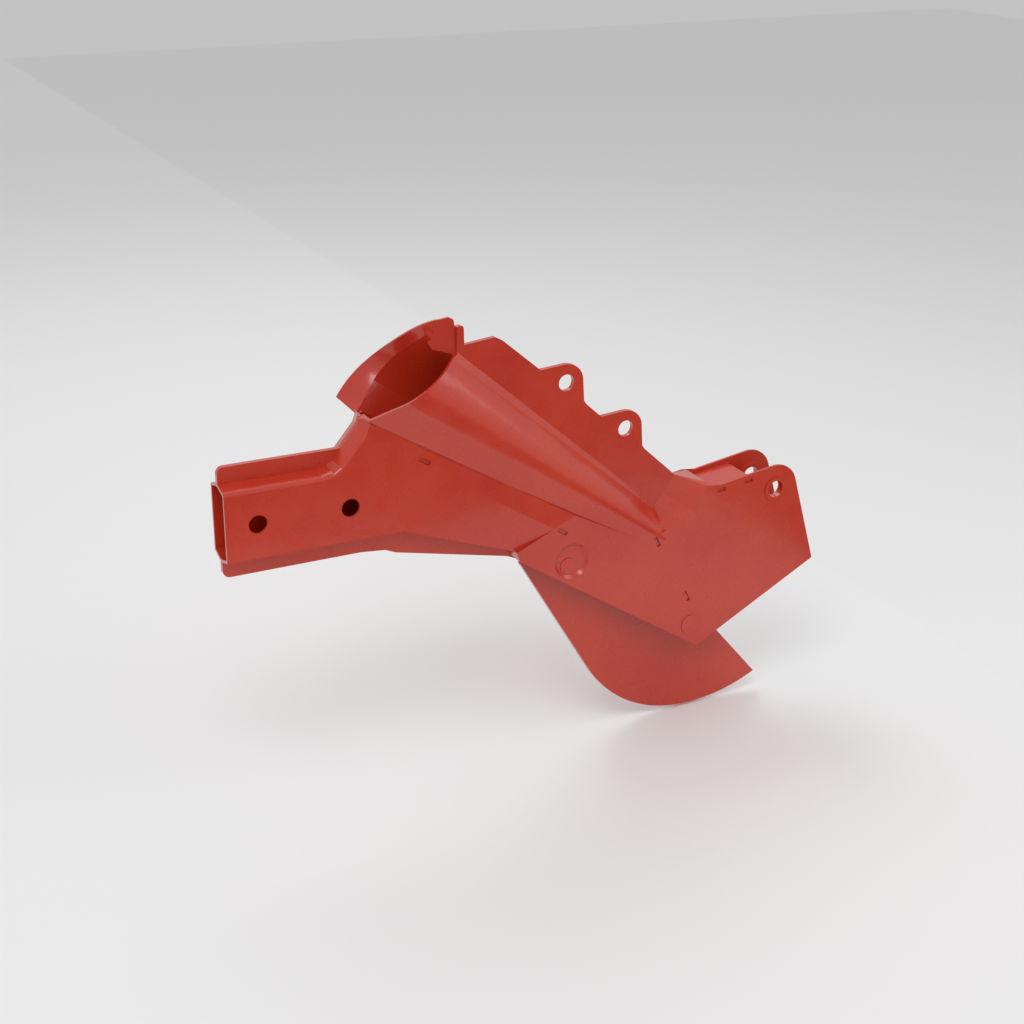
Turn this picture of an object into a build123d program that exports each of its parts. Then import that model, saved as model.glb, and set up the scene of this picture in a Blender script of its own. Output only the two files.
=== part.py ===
from build123d import *
import math
import os

# Cultivator body: a seed boot of pressed sheet steel, two mirrored half shells welded together.
# Lengths are millimetres. X runs rearwards along the socket, Y to the right, Z up.
# The origin is the centre of the front socket bolt hole, on the mid plane between the shells.

# Sheet steel and fits
sheet = 2.0
fit_gap = 0.1
bend_r = 3.0            # outside radius of the pressed bends
past_middle = 1.0       # how far a hollow reaches past the mid plane, so that it cuts cleanly

# Socket that slides over the row unit's arm
bolt_spacing = 65.0
bolt_hole_d = 13.0
socket_front = 22.4
socket_half_width = 13.5
socket_half_height = 24.2
wall_lean = 3.4
flange_reach = 11.6
flange_corner_r = 5.0
socket_top_flange_end = 62.5

# Neck and body below the funnel
neck_line = ((46.0, 24.2), (54.0, 25.8), (59.5, 29.4), (66.3, 37.6), (78.6, 52.2))
mouth_corner = (80.6, 57.6)
body_bend_x = 103.0
body_bottom_angle = -20.0
body_bottom_end_x = 188.0

# Funnel, seen from the side as three straight lines that draw together towards the outlet
funnel_angle = -37.0
floor_start = (83.7, 56.4)
floor_angle = -31.0
crest_start = (111.0, 66.0)
crest_angle = -34.6
back_start = (153.5, 91.2)
back_angle = -41.0
mouth_station = 20.0
outlet_station = 290.0
crest_depth_mouth = 24.3
crest_depth_outlet = 19.2

# Mouth and the flared lip on the right shell
left_mouth = (81.2, 60.2)
left_mouth_angle = 25.8
right_mouth = (80.5, 55.0)
right_mouth_angle = 48.5
right_neck_top = 59.0
lip_blend_x = 127.6
lip_root = (
    (81.0, 12.4, 56.0), (90.2, 17.3, 65.1), (100.8, 23.4, 77.1), (111.4, 20.9, 89.1),
    (119.4, 14.3, 98.0), (124.7, 6.9, 104.0), (130.5, 2.3, 106.6), (138.0, 1.0, 107.6),
)
lip_edge = (
    (75.6, 34.0, 62.1), (87.5, 34.6, 76.4), (102.8, 27.4, 92.8), (114.5, 14.0, 106.0),
    (121.0, 6.6, 112.4), (128.5, 2.3, 116.6), (138.0, 1.0, 118.2),
)
tab_foot = 149.5
tab_top = 112.5
tab_width = 5.2
shoulder_rise = 98.8
shoulder_run = (28.6, 34.7)
shoulder_peak = (101.3, 98.2)

# Cheeks at the rear
cheek_half_width = 19.0
cheek_front = (190.4, -62.2)
cheek_bottom = (344.8, -163.4)
cheek_rear = (449.2, -109.0)
cheek_top_front = (347.6, -31.0)
cheek_top_low = (359.0, -32.2)
ear_hole = (409.2, -44.0)
ear_r = 19.2
ear_hole_d = 13.0
bush_d = 19.0
bush_length = 6.0
bush_stand_out = 0.6

# Lugs on the mid plane
lug_angle = -40.0
lug_hole = (234.6, 60.7)
lug_spacing = 65.2
lug_hole_d = 12.2
lug_r = 13.6

# Keel and its pins
keel_thickness = 5.0
keel_toe = (199.7, -73.0)
belly_centre = (349.0, -118.0)
belly_r = 105.0
belly_turn = 59.5
keel_rise = (383.0, -219.4)
keel_tip = (412.6, -208.8)
keel_back = ((352.0, -138.0), (318.0, -122.0), (245.0, -61.0), (222.0, -52.0), (206.0, -61.0))
front_pin = (230.5, -74.0)
front_pin_d = 12.0
dish = (233.0, -70.0)
dish_d = 28.0
dish_depth = 2.2
rear_pin = (338.2, -144.0)
rear_pin_d = 16.0
pin_stand_out = 0.5

# Plates between the shells
plate = 2.5
tab_recess = 1.1
slot_gap = 0.25
tab_length = 8.5
floor_slots = ((119.8, 24.4), (224.6, -45.0))
guide_slots = ((305.0, -68.5), (333.5, -119.0))
floor_start_x = 88.0
floor_end_x = 230.0
guide_overhang = 6.0
bridge_start = (350.4, -37.5)
bridge_end = (388.2, -32.6)
bridge_tabs = (9.5, 34.0)
bridge_tab_length = 7.0


def heading(angle):
    """Unit direction in the side view, from degrees above +X."""
    return math.cos(math.radians(angle)), math.sin(math.radians(angle))


def along(start, angle, distance):
    """Point in the side view at a distance from start."""
    dx, dz = heading(angle)
    return start[0] + dx * distance, start[1] + dz * distance


def face_at(y, points):
    """Flat face at depth y with straight edges through side-view points."""
    return make_face(Polyline(*[(x, y, z) for x, z in points], close=True))


def slab(points, y_from, y_to):
    """Plate between two depths with a straight-edged outline."""
    return extrude(face_at(y_from, points), amount=y_to - y_from, dir=(0, 1, 0))


def inset(points, distance):
    """Side-view outline moved inwards (it runs clockwise) by a distance, corners kept sharp."""
    moved = []
    count = len(points)
    for index, (x, z) in enumerate(points):
        before, after = points[index - 1], points[(index + 1) % count]
        d1 = math.dist(before, (x, z))
        d2 = math.dist(after, (x, z))
        n1 = ((z - before[1]) / d1, -(x - before[0]) / d1)
        n2 = ((after[1] - z) / d2, -(after[0] - x) / d2)
        scale = distance / (1 + n1[0] * n2[0] + n1[1] * n2[1])
        moved.append((x + (n1[0] + n2[0]) * scale, z + (n1[1] + n2[1]) * scale))
    return moved


def faceted(low, high, y_low, y_high):
    """Solid between two side-view outlines with the same number of points, all its walls flat."""
    top = [Vector(x, y_high, z) for x, z in high]
    base = [Vector(x, y_low, z) for x, z in low]
    faces = [face_at(y_high, high), face_at(y_low, low)]
    for index in range(len(high)):
        after = (index + 1) % len(high)
        a, b, c, d = base[index], base[after], top[after], top[index]
        off_plane = abs((b - a).cross(d - a).normalized().dot(c - a))
        if off_plane < 1e-4:
            faces.append(make_face(Polyline(a, b, c, d, close=True)))
        else:
            faces.append(make_face(Polyline(a, b, c, close=True)))
            faces.append(make_face(Polyline(a, c, d, close=True)))
    return Solid(Shell(faces))


def raised(low, high, y_low, y_high, wall, bends=()):
    """Half form with a flat top at y_high, walls leaning out to y_low, then straight across.

    Sides of the top whose number is in bends are rounded, as the sheet is where it was pressed.
    """
    y_end = past_middle if wall else 0.0
    crown = faceted(low, high, y_low, y_high)
    rounded = []
    for index in bends:
        (x1, z1), (x2, z2) = high[index], high[(index + 1) % len(high)]
        middle = Vector((x1 + x2) / 2, y_high, (z1 + z2) / 2)
        rounded.append(min(crown.edges(), key=lambda e: (e.center() - middle).length))
    if rounded:
        crown = fillet(rounded, bend_r - wall)
    return crown + slab(low, y_low, y_end)


def floor_z(x):
    """Height of the funnel's lower bend line."""
    return floor_start[1] + (x - floor_start[0]) * math.tan(math.radians(floor_angle))


def bottom_z(x):
    """Height of the lower bend line of the body."""
    return -socket_half_height + min(0.0, (x - body_bend_x) * -math.tan(math.radians(-body_bottom_angle)))


def round_corners(solid, corners):
    """Round the edges across the sheet that lie at given side-view points, each with its radius."""
    for (x, z), radius in corners.items():
        across = solid.edges().filter_by(Axis.Y)
        edge = min(across, key=lambda e: math.dist((x, z), (e.center().X, e.center().Z)))
        solid = fillet(edge, radius)
    return solid


def hole(centre, diameter, y_from=-60.0, y_to=60.0):
    """Round cutter across the part."""
    plane = Plane(origin=(centre[0], y_from, centre[1]), x_dir=(1, 0, 0), z_dir=(0, 1, 0))
    return extrude(plane * Circle(diameter / 2), amount=y_to - y_from)


# Points worked out from the driving sizes
fold_low = (body_bend_x, -socket_half_height)
fold_high = (136.2, floor_z(136.2))
crease_end = (218.9, -44.4)
crease_share = 0.78
gusset_end_low = (body_bottom_end_x, bottom_z(body_bottom_end_x))
gusset_end_high = (234.8, floor_z(234.8))
gusset_low_depth = 15.2
gusset_run_on = 5.0      # how far the gusset's hollow runs on into the cheek's
lug_2_hole = along(lug_hole, lug_angle, lug_spacing)


def body_block(wall):
    """Socket, neck and body as one half form; wall 0 is the outside, sheet is the inside."""
    front = -socket_front if wall == 0 else -socket_front - 20
    lift = 0.0 if wall == 0 else 8.0
    high = [
        (front, socket_half_height),
        (neck_line[0][0], socket_half_height),
        *neck_line[1:],
        mouth_corner,
        (mouth_corner[0] + 8, floor_z(mouth_corner[0] + 8) + lift),
        (235.0, floor_z(235.0) + lift),
        (204.0, -60.0),
        gusset_end_low,
        fold_low,
        (front, -socket_half_height),
    ]
    low = inset(high, -wall_lean)
    crown = inset(high, wall * 0.75)
    foot = inset(low, wall)
    crown = [(front if x < 0 else x, z) for x, z in crown]
    foot = [(front if x < 0 else x, z) for x, z in foot]
    return raised(foot, crown, -sheet, wall - socket_half_width, wall, (0, 1, 2, 3, 4, 9, 10))


def gusset_block(wall):
    """Widening from the body to the cheeks: an outward band above a flank that faces down."""
    def section(low, high, low_depth, depth, share):
        reach = math.dist(low, high)
        unit = ((high[0] - low[0]) / reach, (high[1] - low[1]) / reach)
        start, end = (wall * 1.5, reach) if wall == 0 else (wall * 1.5, reach + 6)
        stops = ((start, low_depth), (reach * share, depth), (end, depth))
        rim = [(low[0] + unit[0] * s, wall - d, low[1] + unit[1] * s) for s, d in stops]
        base = past_middle if wall else 0.0
        points = [(rim[0][0], base, rim[0][2])] + rim + [(rim[2][0], base, rim[2][2])]
        return make_face(Polyline(*points, close=True))

    left = section(fold_low, fold_high, socket_half_width, socket_half_width, crease_share)
    reach = math.dist(gusset_end_low, gusset_end_high)
    share = math.dist(gusset_end_low, crease_end) / reach
    right = section(gusset_end_low, gusset_end_high, gusset_low_depth, cheek_half_width, share)
    block = loft([left, right], ruled=True)
    if wall:
        dx, dz = gusset_end_high[0] - gusset_end_low[0], gusset_end_high[1] - gusset_end_low[1]
        block += extrude(right, amount=gusset_run_on, dir=(dz / reach, 0, -dx / reach))
    return block


def station(start, angle, distance):
    """Point of a funnel line where it crosses a section square to the funnel."""
    ax, az = heading(funnel_angle)
    dx, dz = heading(angle)
    run = (distance - start[0] * ax - start[1] * az) / (dx * ax + dz * az)
    return start[0] + dx * run, start[1] + dz * run


def funnel_section(distance, crest_depth, floor_depth, wall):
    """Half section of the funnel as a face, from the floor bend over the crest to the flange."""
    floor_point = station(floor_start, floor_angle, distance)
    crest_point = station(crest_start, crest_angle, distance)
    back_point = station(back_start, back_angle, distance)

    def between(share):
        return tuple(c + (b - c) * share for c, b in zip(crest_point, back_point))

    shares = ((0.0, 1.0), (0.37, 0.93), (0.64, 0.64), (0.87, 0.22))
    ax, az = heading(funnel_angle)
    up = (-az, ax)
    tilts = (0.25, 0.35, 0.75, 0.75)
    rim = []
    for (share, depth), tilt in zip(shares, tilts):
        x, z = between(share)
        drop = wall * tilt if share else 0.0
        y = -(crest_depth * depth - wall * math.sqrt(1 - tilt * tilt))
        rim.append((x - up[0] * drop, y, z - up[1] * drop))
    base = past_middle if wall else 0.0
    lower = (floor_point[0] + up[0] * wall, floor_point[1] + up[1] * wall)
    first = (lower[0], wall - floor_depth, lower[1])
    if wall:
        run = (rim[3][1] - base) / (rim[2][1] - rim[3][1])
        last = tuple(b + (b - a) * run for a, b in zip(rim[2], rim[3]))
        tail = [Line(rim[3], last)]
    else:
        last = (back_point[0], 0.0, back_point[1])
        lip_end = (back_point[0], -sheet, back_point[1])
        tail = [Line(rim[3], lip_end), Line(lip_end, last)]
    origin = (lower[0], base, lower[1])
    edges = [Line(first, rim[0]), Spline(*rim)] + tail + [Line(last, origin), Line(origin, first)]
    return make_face(edges)


def funnel_block(wall):
    """Tapering funnel as a half form."""
    mouth = funnel_section(mouth_station, crest_depth_mouth, socket_half_width, wall)
    outlet = funnel_section(outlet_station, crest_depth_outlet, cheek_half_width, wall)
    return loft([mouth, outlet], ruled=True)


def ear_tangents():
    """Points where the cheek's top and rear edges touch the round of the ear."""
    def touch(start, side):
        reach = math.dist(start, ear_hole)
        bearing = math.atan2(ear_hole[1] - start[1], ear_hole[0] - start[0])
        angle = bearing + side * math.asin(ear_r / reach)
        return ear_hole[0] - side * math.sin(angle) * ear_r, ear_hole[1] + side * math.cos(angle) * ear_r
    return touch(cheek_top_low, 1), touch(cheek_rear, -1)


def cheek_block(wall):
    """Flat cheek with its slanting front wall, as a half form."""
    over_ear, behind_ear = ear_tangents()
    edge = [cheek_top_low, over_ear, behind_ear, cheek_rear, cheek_bottom, cheek_front, gusset_end_low]
    front = [gusset_end_high, (296.0, -67.0), (312.8, -60.6), (325.0, -54.2), (337.6, -48.6)]
    foot = [gusset_end_high, (300.0, -62.0), (308.0, -52.0), (313.0, -45.0), (319.0, -38.0)]
    high = front + [cheek_top_front] + edge
    low = foot + [(328.5, -24.5)] + edge
    if wall == 0:
        ear = hole(ear_hole, 2 * ear_r, -cheek_half_width, 0.0)
        return raised(low, high, -sheet, -cheek_half_width, wall) + ear
    hollow = raised(inset(low, 3.1), inset(high, 0.75), -sheet, wall - cheek_half_width, wall)
    mouth = [(207.0, -62.0), (330.0, -66.0), (346.0, -48.0), (350.0, -25.0), (440.0, 0.0),
             (480.0, -110.0), (345.0, -190.0), (194.0, -76.0)]
    return hollow + slab(mouth, wall - cheek_half_width, past_middle)


def form(wall):
    """Whole half form, outside (wall 0) or inside (wall = sheet)."""
    return body_block(wall) + gusset_block(wall) + funnel_block(wall) + cheek_block(wall)


def flange():
    """Flat seam flange of one shell, with its lugs and the tab beside the mouth."""
    lug_top = (lug_hole[0] - 1.0, lug_hole[1] + lug_r)
    lug_side = (lug_hole[0] + lug_r, lug_hole[1] - 0.5)
    lug = [(214.0, 72.8), lug_top, lug_side, (249.3, 45.2), (251.5, 42.2)]
    step = (lug_2_hole[0] - lug_hole[0], lug_2_hole[1] - lug_hole[1])
    lug_2 = [(x + step[0], z + step[1]) for x, z in lug]
    top = socket_half_height + wall_lean + flange_reach
    outline = [(-socket_front, top), (socket_top_flange_end, top), (78.0, 40.0), (140.0, 70.0)]
    peak, fall = [(tab_foot + run, rise) for run, rise in zip(shoulder_run, shoulder_peak)]
    outline += [(tab_foot, tab_top), (tab_foot + tab_width, tab_top), (tab_foot + tab_width + 0.3,
                shoulder_rise)]
    outline += [peak, fall]
    outline += lug + lug_2 + [(328.5, -24.5), (335.0, -60.0), (210.0, -58.0), (196.0, -67.5)]
    outline += [(189.0, -64.2), (102.0, -44.4), (94.0, -41.0), (76.0, -top), (-socket_front, -top)]
    body = slab(outline, -sheet, 0.0)
    body = round_corners(body, {
        (-socket_front, top): flange_corner_r,
        (-socket_front, -top): flange_corner_r,
        (tab_foot + tab_width, tab_top): 2.2,
        (tab_foot, tab_top): 2.2,
        fall: 4.0,
    })
    for centre in (lug_hole, lug_2_hole):
        body += hole(centre, 2 * lug_r, -sheet, 0.0)
    return body


def strip(centre, angle, length, thickness, y_from, y_to):
    """Block across the part for a slot or for the tab that fills it, lying at an angle."""
    dx, dz = heading(angle)
    plane = Plane(origin=(centre[0], y_from, centre[1]), x_dir=(dx, 0, dz), z_dir=(0, 1, 0))
    return extrude(plane * Rectangle(length, thickness), amount=y_to - y_from)


def bearing(start, end):
    """Angle in the side view from one point to another."""
    return math.degrees(math.atan2(end[1] - start[1], end[0] - start[0]))


# Slots in the shells: centre, angle, tab length and how far out the tab reaches
floor_slope = bearing(*floor_slots)
guide_slope = bearing(*guide_slots)
bridge_slope = bearing(bridge_start, bridge_end)
bridge_slots = [along(bridge_start, bridge_slope, run) for run in bridge_tabs]
tabs = {
    "funnel_floor": [
        (floor_slots[0], floor_slope, tab_length, socket_half_width),
        (floor_slots[1], floor_slope, tab_length, cheek_half_width),
    ],
    "outlet_guide": [(centre, guide_slope, tab_length, cheek_half_width) for centre in guide_slots],
    "bridge_plate": [(centre, bridge_slope, bridge_tab_length, cheek_half_width) for centre in bridge_slots],
}


def keel_outline():
    """Side view of the keel: straight leading edge into a round belly and a raised tip."""
    def on_belly(turn):
        angle = math.radians(turn)
        return belly_centre[0] - belly_r * math.sin(angle), belly_centre[1] - belly_r * math.cos(angle)

    def spot(point):
        return point[0], -keel_thickness / 2, point[1]

    touch, half, low = on_belly(belly_turn), on_belly(belly_turn / 2), on_belly(0.0)
    edges = [
        Line(spot(keel_toe), spot(touch)),
        ThreePointArc(spot(touch), spot(half), spot(low)),
        ThreePointArc(spot(low), spot(keel_rise), spot(keel_tip)),
        Polyline(*[spot(point) for point in (keel_tip, *keel_back, keel_toe)]),
    ]
    return make_face(edges)


def keel_plate():
    """Flat keel between the cheeks, drilled for its two pins."""
    body = extrude(keel_outline(), amount=keel_thickness, dir=(0, 1, 0))
    for centre, diameter in ((front_pin, front_pin_d), (rear_pin, rear_pin_d)):
        body -= hole(centre, diameter + 2 * fit_gap)
    return body


def dish_pad():
    """Sheet pressed inwards round the front pin."""
    return hole(dish, dish_d, -cheek_half_width, dish_depth + sheet - cheek_half_width)


def dish_hollow():
    """Sloping hollow of the pressed dish, seen from outside."""
    rim = Plane(origin=(dish[0], -cheek_half_width, dish[1]), x_dir=(1, 0, 0), z_dir=(0, 1, 0))
    floor = rim.offset(dish_depth)
    return loft([rim * Circle(dish_d / 2), floor * Circle(dish_d / 2 - dish_depth)], ruled=True)


def plain_shell():
    """Left shell before its mouth is trimmed: walls, flange, holes, slots and dish."""
    body = form(0) + flange() - form(sheet)
    body = body + dish_pad() - dish_hollow()
    for run in (0.0, bolt_spacing):
        body -= hole((run, 0.0), bolt_hole_d)
    for centre in (lug_hole, lug_2_hole):
        body -= hole(centre, lug_hole_d)
    body -= hole(ear_hole, bush_d + 2 * fit_gap)
    body -= hole(front_pin, front_pin_d + 2 * fit_gap)
    body -= hole(rear_pin, rear_pin_d + 2 * fit_gap)
    for places in tabs.values():
        for centre, angle, length, _ in places:
            body -= strip(centre, angle, length + 2 * slot_gap, plate + 2 * slot_gap, -40.0, -sheet)
    return body - offset_keel()


def offset_keel():
    """Room for the keel where the two flanges meet its toe."""
    return extrude(keel_outline(), amount=keel_thickness, dir=(0, 1, 0))


def trim_above(start, angle, end_x, y_from, y_to, level=None):
    """Cutter for everything above a slanting mouth line, as far as end_x.

    Ahead of start it may run level instead, so that it leaves the neck whole.
    """
    rise = math.tan(math.radians(angle))
    left_x, sky = 40.0, 160.0
    points = [(left_x, start[1] + (left_x - start[0]) * rise), (left_x, sky), (end_x, sky),
              (end_x, start[1] + (end_x - start[0]) * rise)]
    if level is not None:
        points = [(left_x, level)] + points[1:] + [start, (start[0] - 0.2, level)]
    return slab(points, y_from, y_to)


def lip():
    """Flared lip that guides the hose, carried on from the right shell's mouth edge."""
    root = Spline(*lip_root)
    edge = Spline(*lip_edge)
    return thicken(Face.make_surface_from_curves(root.edge(), edge.edge()), sheet / 2, both=True)


def left_shell():
    """Near shell: its mouth is cut low, which leaves a narrow tab on the flange."""
    return plain_shell() - trim_above(left_mouth, left_mouth_angle, tab_foot, -60.0, 0.0)


def right_shell():
    """Far shell: its mouth stands higher and ends in the flared lip and a wide flange corner."""
    body = mirror(plain_shell(), about=Plane.XZ)
    body -= trim_above(right_mouth, right_mouth_angle, lip_blend_x, 0.0, 60.0, right_neck_top)
    corner = [(128.5, 103.5), (133.0, 106.4), (133.0, 117.4), (138.0, 118.2), (144.5, 119.0), (148.0, 117.0),
              (tab_foot, 108.0), (tab_foot + 1.0, 92.0), (132.0, 98.0)]
    return body + lip() + slab(corner, 0.0, sheet)


def cross_plate(start, slope, outline, name):
    """Flat plate across the part from its outline (run, half width), with its tabs."""
    dx, dz = heading(slope)
    plane = Plane(origin=(start[0], 0, start[1]), x_dir=(dx, 0, dz), z_dir=(-dz, 0, dx))
    points = [(run, half) for run, half in outline] + [(run, -half) for run, half in reversed(outline)]
    body = extrude(plane * make_face(Polyline(*points, close=True)), amount=plate / 2, both=True)
    for centre, angle, length, reach in tabs[name]:
        body += strip(centre, angle, length, plate, tab_recess - reach, reach - tab_recess)
    return body


def funnel_floor():
    """Plate that closes the underside of the funnel inside the body."""
    rise = math.tan(math.radians(floor_slope))
    start = (floor_start_x, floor_slots[0][1] + (floor_start_x - floor_slots[0][0]) * rise)
    length = (floor_end_x - floor_start_x) / math.cos(math.radians(floor_slope))
    narrow = socket_half_width - sheet - fit_gap
    wide = cheek_half_width - sheet - 2.4
    outline = [(0.0, narrow), (length * 0.36, narrow), (length, wide)]
    return cross_plate(start, floor_slope, outline, "funnel_floor")


def outlet_guide():
    """Plate between the cheeks that turns the seed down behind the keel."""
    start = along(guide_slots[0], guide_slope, -guide_overhang)
    length = math.dist(*guide_slots) + 2 * guide_overhang
    half = cheek_half_width - sheet - fit_gap
    return cross_plate(start, guide_slope, [(0.0, half), (length, half)], "outlet_guide")


def bridge_plate():
    """Plate that ties the cheeks together just below their top edges."""
    half = cheek_half_width - sheet - fit_gap
    length = math.dist(bridge_start, bridge_end)
    return cross_plate(bridge_start, bridge_slope, [(0.0, half), (length, half)], "bridge_plate")


parts = {
    "left_shell": left_shell(),
    "right_shell": right_shell(),
    "keel_plate": keel_plate(),
    "funnel_floor": funnel_floor(),
    "outlet_guide": outlet_guide(),
    "bridge_plate": bridge_plate(),
}

front_end = cheek_half_width - dish_depth + pin_stand_out
rear_end = cheek_half_width + pin_stand_out
parts["front_keel_pin"] = hole(front_pin, front_pin_d, -front_end, front_end)
parts["rear_keel_pin"] = hole(rear_pin, rear_pin_d, -rear_end, rear_end)

for side, sign in (("left", -1), ("right", 1)):
    ends = sorted((sign * (cheek_half_width + bush_stand_out),
                   sign * (cheek_half_width + bush_stand_out - bush_length)))
    parts[f"ear_bush_{side}"] = hole(ear_hole, bush_d, *ends) - hole(ear_hole, ear_hole_d)

os.makedirs("parts", exist_ok=True)
for name, solid in parts.items():
    export_step(solid, f"parts/{name}.step")
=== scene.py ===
"""Studio scene of the cultivator body: painted steel, soft light and the photo's view."""

import logging
import math
from dataclasses import dataclass, field
from enum import Enum

import bpy
from mathutils import Matrix, Vector


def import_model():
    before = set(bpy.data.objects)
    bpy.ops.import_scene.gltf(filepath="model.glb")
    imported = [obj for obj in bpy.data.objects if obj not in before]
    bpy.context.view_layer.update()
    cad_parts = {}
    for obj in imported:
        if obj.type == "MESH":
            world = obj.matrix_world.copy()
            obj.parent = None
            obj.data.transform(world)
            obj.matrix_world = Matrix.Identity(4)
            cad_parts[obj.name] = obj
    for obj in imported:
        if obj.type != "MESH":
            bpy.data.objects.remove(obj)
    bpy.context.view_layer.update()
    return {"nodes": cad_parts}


LOG = logging.getLogger("cultivator_body")
MM = 0.001
Point = tuple[float, float, float]


class Side(Enum):
    """Which face of the part a mark lies on."""

    LEFT = -1
    RIGHT = 1


@dataclass(frozen=True)
class PaintFinish:
    """Glossy paint over pressed steel, with fine orange peel and handling marks."""

    name: str
    colour: Point = (0.560, 0.036, 0.011)
    deep_colour: Point = (0.500, 0.026, 0.011)
    roughness: float = 0.24
    worn_roughness: float = 0.36
    peel_scale: float = 420.0
    peel_height: float = 0.00004
    wave_scale: float = 22.0
    wave_height: float = 0.0006
    coat: float = 0.5

    def build(self) -> bpy.types.Material:
        """Make the paint as a node material on Object coordinates.

        Returns:
            The finished material.
        """
        material = bpy.data.materials.new(self.name)
        material.use_nodes = True
        tree = material.node_tree
        tree.nodes.clear()
        out = tree.nodes.new("ShaderNodeOutputMaterial")
        shader = tree.nodes.new("ShaderNodeBsdfPrincipled")
        tree.links.new(shader.outputs["BSDF"], out.inputs["Surface"])
        coords = tree.nodes.new("ShaderNodeTexCoord").outputs["Object"]

        broad = self._noise(tree, coords, 14.0, 4.0)
        tone = tree.nodes.new("ShaderNodeMix")
        tone.data_type = "RGBA"
        tone.inputs["A"].default_value = (*self.deep_colour, 1.0)
        tone.inputs["B"].default_value = (*self.colour, 1.0)
        tree.links.new(self._ramp(tree, broad, 0.30, 0.62), tone.inputs["Factor"])
        tree.links.new(tone.outputs["Result"], shader.inputs["Base Color"])

        smear = self._noise(tree, coords, 55.0, 6.0)
        gloss = tree.nodes.new("ShaderNodeMapRange")
        gloss.inputs["From Min"].default_value = 0.35
        gloss.inputs["From Max"].default_value = 0.75
        gloss.inputs["To Min"].default_value = self.roughness
        gloss.inputs["To Max"].default_value = self.worn_roughness
        tree.links.new(smear, gloss.inputs["Value"])
        tree.links.new(gloss.outputs["Result"], shader.inputs["Roughness"])
        shader.inputs["Coat Weight"].default_value = self.coat
        shader.inputs["Coat Roughness"].default_value = 0.12

        wave = self._bump(tree, self._noise(tree, coords, self.wave_scale, 2.0), self.wave_height, None)
        peel = self._bump(tree, self._noise(tree, coords, self.peel_scale, 2.0), self.peel_height, wave)
        tree.links.new(peel, shader.inputs["Normal"])
        tree.links.new(peel, shader.inputs["Coat Normal"])
        return material

    @staticmethod
    def _noise(tree: bpy.types.NodeTree, coords: bpy.types.NodeSocket, scale: float,
               detail: float) -> bpy.types.NodeSocket:
        """Noise socket at a scale in cycles per metre."""
        node = tree.nodes.new("ShaderNodeTexNoise")
        node.inputs["Scale"].default_value = scale
        node.inputs["Detail"].default_value = detail
        tree.links.new(coords, node.inputs["Vector"])
        return node.outputs["Fac"]

    @staticmethod
    def _ramp(tree: bpy.types.NodeTree, value: bpy.types.NodeSocket, low: float,
              high: float) -> bpy.types.NodeSocket:
        """Value remapped from low..high to 0..1."""
        node = tree.nodes.new("ShaderNodeMapRange")
        node.inputs["From Min"].default_value = low
        node.inputs["From Max"].default_value = high
        tree.links.new(value, node.inputs["Value"])
        return node.outputs["Result"]

    @staticmethod
    def _bump(tree: bpy.types.NodeTree, value: bpy.types.NodeSocket, height: float,
              below: bpy.types.NodeSocket | None) -> bpy.types.NodeSocket:
        """Bump of a height in metres, laid over another normal."""
        node = tree.nodes.new("ShaderNodeBump")
        node.inputs["Strength"].default_value = 1.0
        node.inputs["Distance"].default_value = height
        tree.links.new(value, node.inputs["Height"])
        if below is not None:
            tree.links.new(below, node.inputs["Normal"])
        return node.outputs["Normal"]


@dataclass
class PaintedSteel:
    """Every CAD node: gets the paint, and its edges are broken as paint leaves them."""

    nodes: dict[str, bpy.types.Object]
    paint: bpy.types.Material
    edge_radius: float = 0.0005
    edge_angle: float = 32.0

    def dress(self) -> None:
        """Paint the nodes and round their edges."""
        for name, node in self.nodes.items():
            node.data.materials.clear()
            node.data.materials.append(self.paint)
            bevel = node.modifiers.new("edge", "BEVEL")
            bevel.width = self.edge_radius
            bevel.segments = 2
            bevel.limit_method = "ANGLE"
            bevel.angle_limit = math.radians(self.edge_angle)
            bevel.harden_normals = True
            bevel.use_clamp_overlap = True
            LOG.info("painted %s", name)


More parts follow.
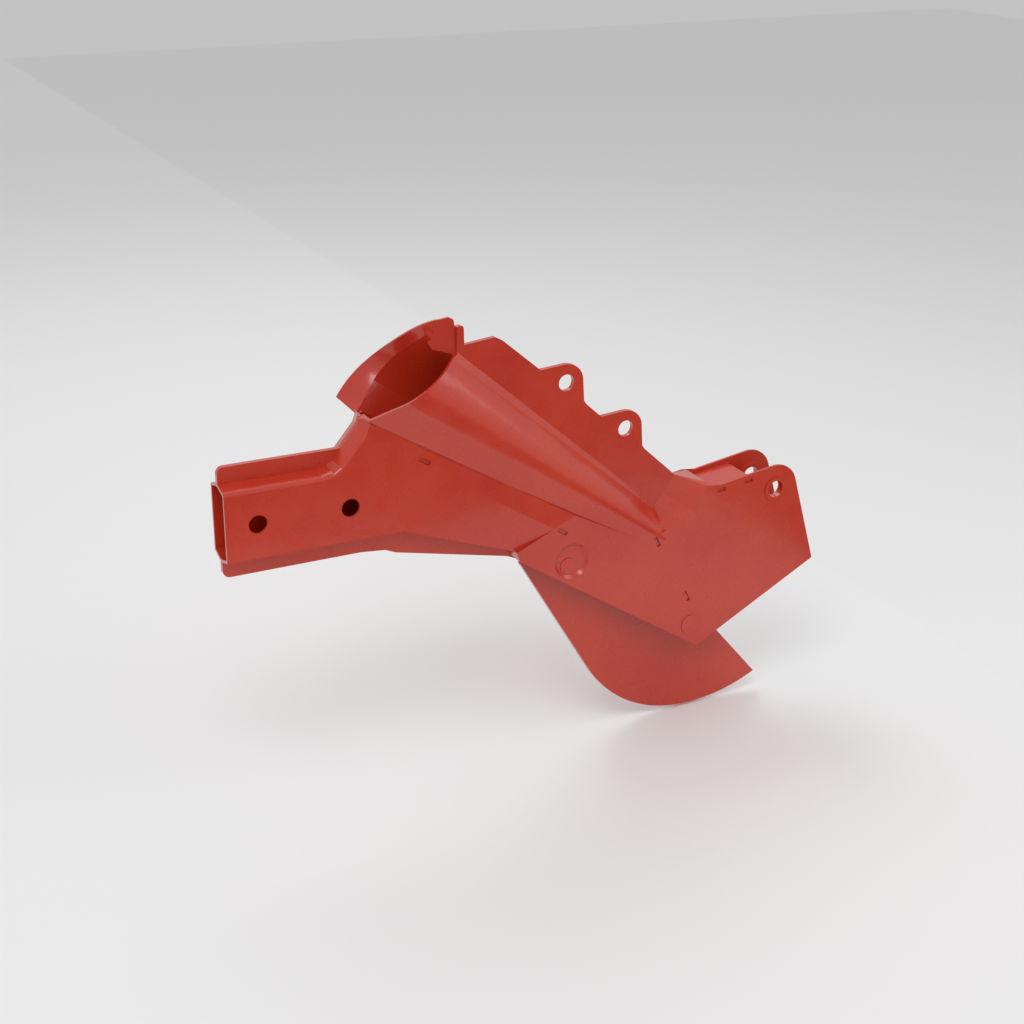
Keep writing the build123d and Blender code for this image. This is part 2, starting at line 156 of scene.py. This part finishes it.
@dataclass
class Studio:
    """Pale floor, soft light and the camera of the photograph."""

    floor_height: float = -0.2254
    floor_size: float = 60.0
    # painted reflection: two dark glowing sheets just above the floor that only the paint's reflections
    # see
    reflection_sheet_lift: float = 0.001
    reflection_sheet_reach: float = 4.0
    reflection_sheet_near: float = -0.45
    reflection_sheet_right: float = 0.612
    painted_reflection_colour: Point = (0.10, 0.09, 0.085)
    sky_strength: float = 0.62
    floor_colour: Point = (0.86, 0.86, 0.86)
    focal_px: float = 1685.97
    image_px: float = 1024.0
    sensor_mm: float = 36.0
    place: Point = (-0.31368, -0.99347, 0.43372)
    azimuth: float = 27.0376
    elevation: float = 22.6287
    roll: float = -0.4831
    target: Point = (0.20, 0.0, -0.05)
    lights: tuple = field(default=(
        ("key", (-0.45, -0.85, 1.30), 0.7, 7.0),
        ("fill", (1.20, -0.60, 0.80), 0.8, 2.5),
        ("back", (0.30, 1.00, 1.20), 0.8, 5.0),
    ))

    def build(self) -> None:
        """Make the floor, the painted reflection sheets, the world, the lights and the camera."""
        self._floor()
        reach, near, right = self.reflection_sheet_reach, self.reflection_sheet_near, self.reflection_sheet_right
        # painted reflection sheets, seen only in the paint's reflections
        self._painted_reflection_sheet("painted_reflection_front", (-reach, -reach), (reach, near))
        self._painted_reflection_sheet("painted_reflection_right", (right, near), (reach, reach))
        self._world()
        for name, place, size, power in self.lights:
            self._light(name, place, size, power)
        self._camera()

    def _floor(self) -> None:
        """Lay a plain pale floor under the part."""
        half = self.floor_size / 2
        mesh = bpy.data.meshes.new("studio_floor")
        corners = [(-half, -half, self.floor_height), (half, -half, self.floor_height),
                   (half, half, self.floor_height), (-half, half, self.floor_height)]
        mesh.from_pydata(corners, [], [(0, 1, 2, 3)])
        floor = bpy.data.objects.new("studio_floor", mesh)
        bpy.context.scene.collection.objects.link(floor)
        material = bpy.data.materials.new("studio_floor")
        material.use_nodes = True
        shader = material.node_tree.nodes["Principled BSDF"]
        shader.inputs["Base Color"].default_value = (*self.floor_colour, 1.0)
        shader.inputs["Roughness"].default_value = 0.9
        mesh.materials.append(material)

    def _painted_reflection_sheet(self, name: str, low: tuple[float, float], high: tuple[float, float]) -> None:
        """Lay a dark glowing sheet just above the floor that only reflections in the paint can see: a
        painted reflection that darkens the paint.
        """
        height = self.floor_height + self.reflection_sheet_lift
        mesh = bpy.data.meshes.new(name)
        corners = [(low[0], low[1], height), (high[0], low[1], height),
                   (high[0], high[1], height), (low[0], high[1], height)]
        mesh.from_pydata(corners, [], [(0, 1, 2, 3)])
        card = bpy.data.objects.new(name, mesh)
        bpy.context.scene.collection.objects.link(card)
        material = bpy.data.materials.new(name)
        material.use_nodes = True
        tree = material.node_tree
        tree.nodes.clear()
        glow = tree.nodes.new("ShaderNodeEmission")
        glow.inputs["Color"].default_value = (*self.painted_reflection_colour, 1.0)
        out = tree.nodes.new("ShaderNodeOutputMaterial")
        tree.links.new(glow.outputs["Emission"], out.inputs["Surface"])
        mesh.materials.append(material)
        for ray in ("camera", "diffuse", "transmission", "shadow", "volume_scatter"):
            setattr(card, f"visible_{ray}", False)

    def _world(self) -> None:
        """Light the room evenly with a near-white sky."""
        world = bpy.data.worlds.new("studio")
        world.use_nodes = True
        world.node_tree.nodes["Background"].inputs["Color"].default_value = (1.0, 1.0, 1.0, 1.0)
        world.node_tree.nodes["Background"].inputs["Strength"].default_value = self.sky_strength
        bpy.context.scene.world = world

    def _light(self, name: str, place: Point, size: float, power: float) -> None:
        """Add one square area light that faces the part."""
        data = bpy.data.lights.new(name, "AREA")
        data.size = size
        data.energy = power
        lamp = bpy.data.objects.new(name, data)
        lamp.location = place
        lamp.rotation_euler = (Vector(self.target) - Vector(place)).to_track_quat("-Z", "Y").to_euler()
        bpy.context.scene.collection.objects.link(lamp)

    def _camera(self) -> None:
        """Place the camera where the photograph was taken from."""
        az, el, roll = (math.radians(a) for a in (self.azimuth, self.elevation, self.roll))
        ahead = Vector((math.sin(az) * math.cos(el), math.cos(az) * math.cos(el), -math.sin(el)))
        right = Vector((math.cos(az), -math.sin(az), 0.0))
        down = ahead.cross(right)
        turned_right = right * math.cos(roll) + down * math.sin(roll)
        turned_down = down * math.cos(roll) - right * math.sin(roll)
        data = bpy.data.cameras.new("camera")
        data.sensor_width = self.sensor_mm
        data.lens = self.focal_px * self.sensor_mm / self.image_px
        data.clip_start = 0.01
        camera = bpy.data.objects.new("camera", data)
        axes = Matrix((turned_right, -turned_down, -ahead)).transposed()
        camera.matrix_world = Matrix.Translation(self.place) @ axes.to_4x4()
        bpy.context.scene.collection.objects.link(camera)
        scene = bpy.context.scene
        scene.camera = camera
        scene.render.resolution_x = int(self.image_px)
        scene.render.resolution_y = int(self.image_px)
        scene.view_settings.view_transform = "Standard"


def main() -> None:
    """Load the frame, dress its pieces and set up the studio."""
    logging.basicConfig(level=logging.INFO, format="%(name)s: %(message)s")
    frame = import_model()
    paint = PaintFinish("red_paint").build()
    PaintedSteel(dict(frame["nodes"]), paint).dress()
    Studio().build()


if __name__ == "__main__":
    main()
